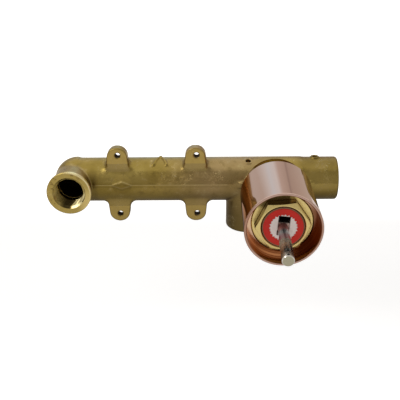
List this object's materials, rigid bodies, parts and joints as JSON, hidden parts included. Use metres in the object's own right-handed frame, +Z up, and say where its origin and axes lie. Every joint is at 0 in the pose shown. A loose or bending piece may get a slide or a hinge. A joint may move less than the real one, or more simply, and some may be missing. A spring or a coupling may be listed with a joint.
{
  "type": "concealed valve body",
  "caption": "Cast brass body for a concealed single-lever wall mixer: tube with front elbow outlet, fixing lugs, side and lower inlets, shrouded ceramic cartridge and lever.",
  "frame": {"origin": "centre of the four fixing holes, on the back plane of the lugs", "axes": "+X along the tube towards the cold inlet, +Z up, -Y out of the wall towards the user"},
  "size_m": [0.1937, 0.1292, 0.0609],
  "materials": {
    "cast_brass": "sand cast and tumbled, dull, with machined faces",
    "rose_gold": "mirror-polished rose gold plating",
    "nut_brass": "bright turned brass",
    "cartridge_tan": "moulded",
    "cartridge_grey": "moulded",
    "guide_white": "moulded",
    "limit_red": "moulded",
    "steel": "turned",
    "screw_steel": "dull",
    "ceramic": "lapped",
    "rubber": "matte"
  },
  "bodies": {
    "body": {"valve_body": "cast_brass", "shroud": "rose_gold", "shroud_o_ring_front": "rubber", "shroud_o_ring_rear": "rubber", "cartridge_nut": "nut_brass", "cartridge_housing": "cartridge_tan", "cartridge_base": "cartridge_grey", "port_seals": "rubber", "disc_seals": "rubber", "fixed_disc": "ceramic"},
    "turret": {"lever_guide": "guide_white", "guide_o_ring": "rubber", "temperature_limit_ring": "limit_red", "lever_pivot_pin": "steel"},
    "lever": {"lever_stem": "steel", "lever_pin": "steel", "stem_grub_screw": "steel", "handle_grub_screw": "screw_steel"},
    "shuttle": {"moving_disc": "ceramic", "disc_carrier": "cartridge_grey"}
  },
  "joints": [
    {"name": "temperature_turn", "type": "hinge", "parent": "body", "child": "turret", "pos_m": [0.0781, -0.0625, 0], "axis": [0, -1, 0], "range_deg": [-44, 56]},
    {"name": "lever_lift", "type": "hinge", "parent": "turret", "child": "lever", "pos_m": [0.0781, -0.0625, 0], "axis": [-0.9945, 0, 0.1045], "range_deg": [0, 22]},
    {"name": "disc_slide", "type": "slide", "parent": "turret", "child": "shuttle", "axis": [-0.1045, 0, -0.9945], "range_m": [0, 0.00484]}
  ],
  "couplings": [
    {"joint": "disc_slide", "follows": "lever_lift", "m_per_rad": 0.012355}
  ]
}
